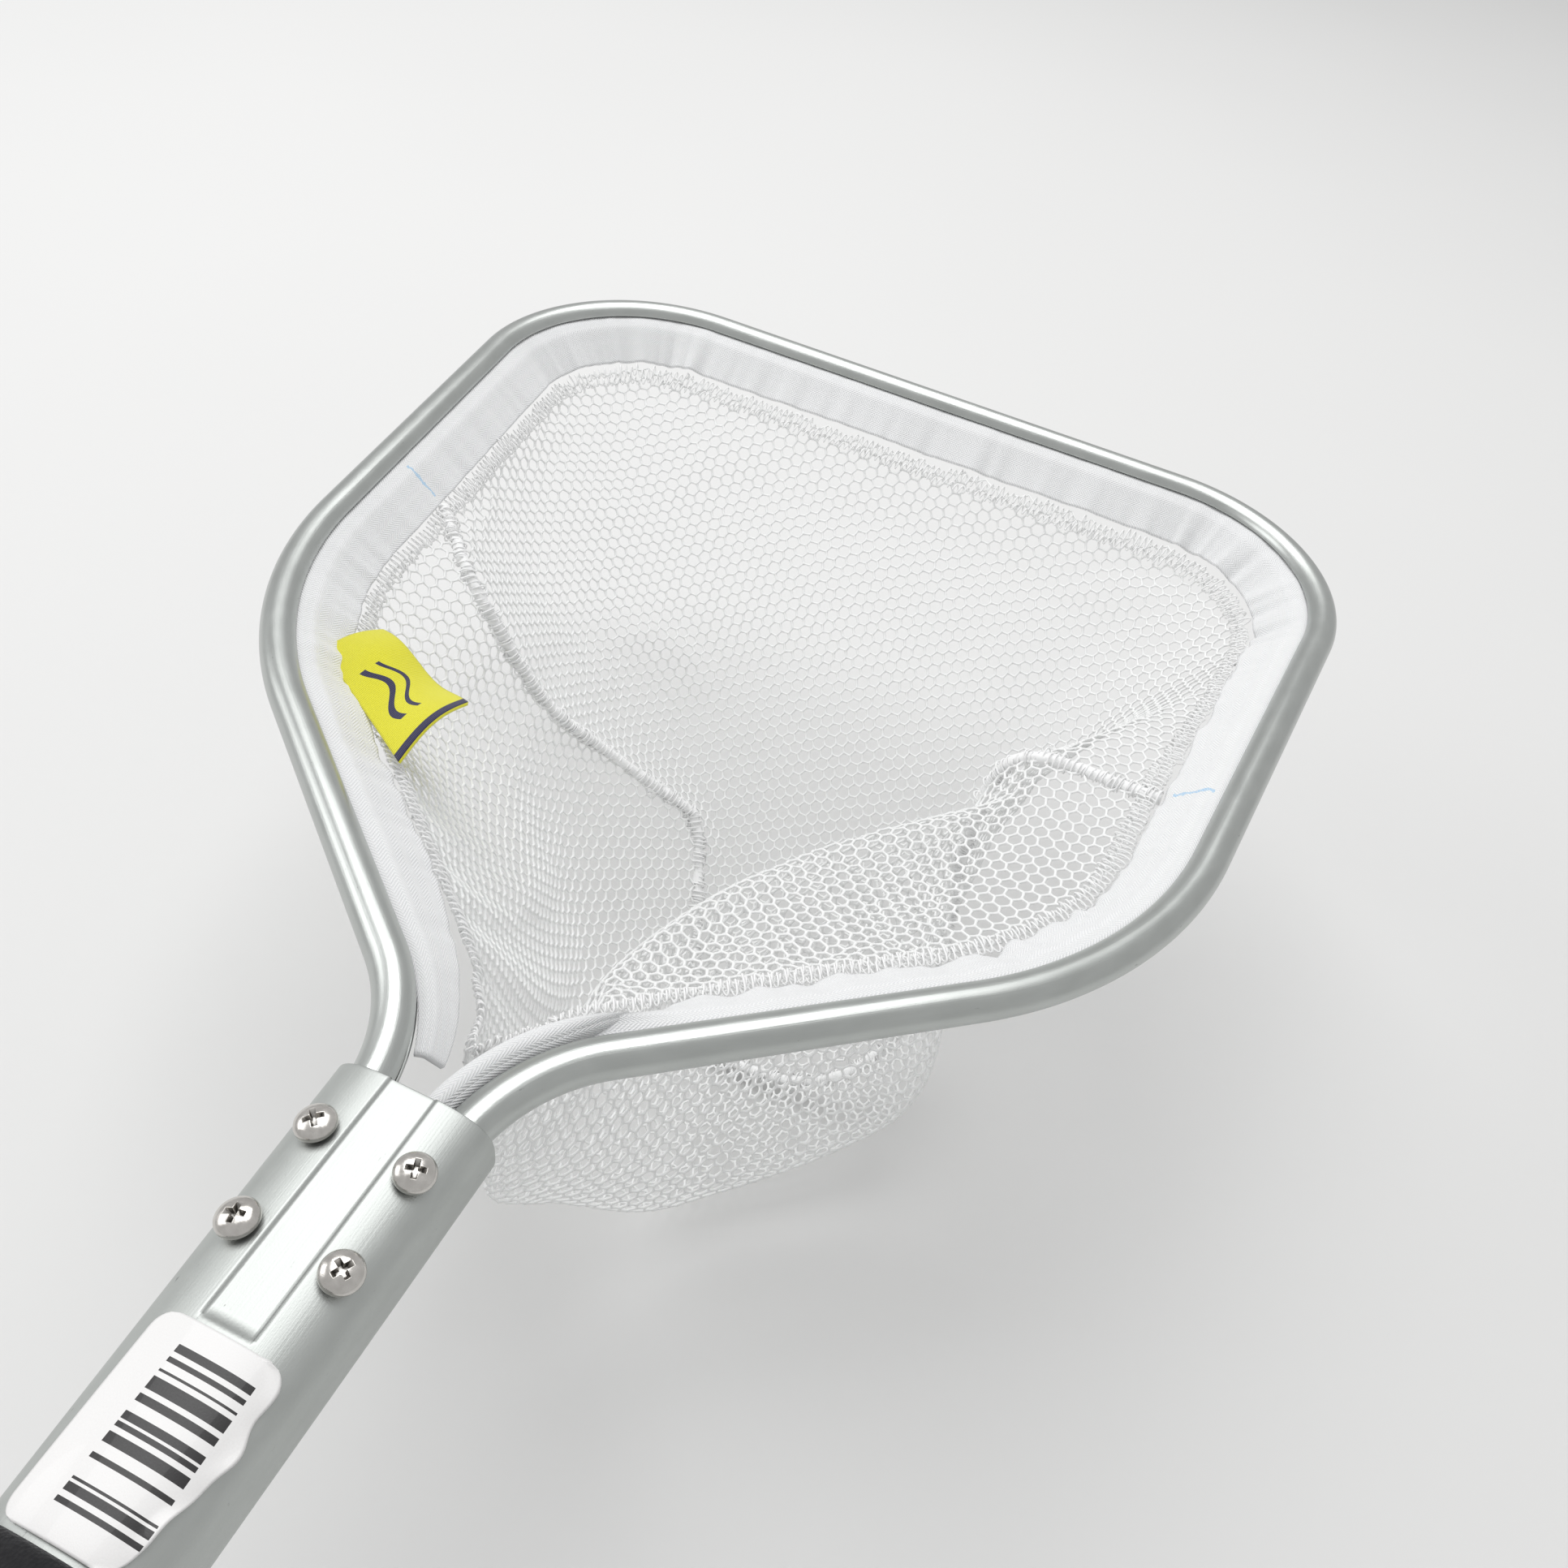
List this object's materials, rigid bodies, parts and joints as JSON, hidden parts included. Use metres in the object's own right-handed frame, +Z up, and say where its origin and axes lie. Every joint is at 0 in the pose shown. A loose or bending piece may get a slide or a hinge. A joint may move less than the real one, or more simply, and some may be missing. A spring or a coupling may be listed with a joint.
{
  "type": "landing net",
  "caption": "Small landing net: spade-shaped slotted aluminium hoop, white mesh bag on a taped hem, and a fixed flattened-tube handle with a foam grip.",
  "frame": {"origin": "centre of the end cap's flat butt face", "axes": "+Y along the handle towards the hoop, +Z up out of the hoop's plane, bag below"},
  "size_m": [0.254, 0.5802, 0.1356],
  "materials": {
    "satin_aluminium": "satin anodised",
    "nickel_screw": "polished nickel plate",
    "sticker_paper": "semi-gloss white",
    "grip_foam": "matte closed-cell foam",
    "cap_plastic": "moulded black",
    "white_tape": "herringbone twill",
    "white_mesh": "knotless hexagonal mesh",
    "tag_fabric": "woven label"
  },
  "bodies": {
    "root": {"hoop_tube": "satin_aluminium", "handle_tube": "satin_aluminium", "screw_right_front": "nickel_screw", "screw_right_rear": "nickel_screw", "screw_left_front": "nickel_screw", "screw_left_rear": "nickel_screw", "handle_label": "sticker_paper", "grip_sleeve": "grip_foam", "end_cap": "cap_plastic", "hem_cord": "white_tape", "hem_tape": "white_tape", "net_front_panel": "white_mesh", "net_back_panel": "white_mesh", "bag_seam": "white_mesh", "loop_tag": "tag_fabric"}
  },
  "joints": []
}
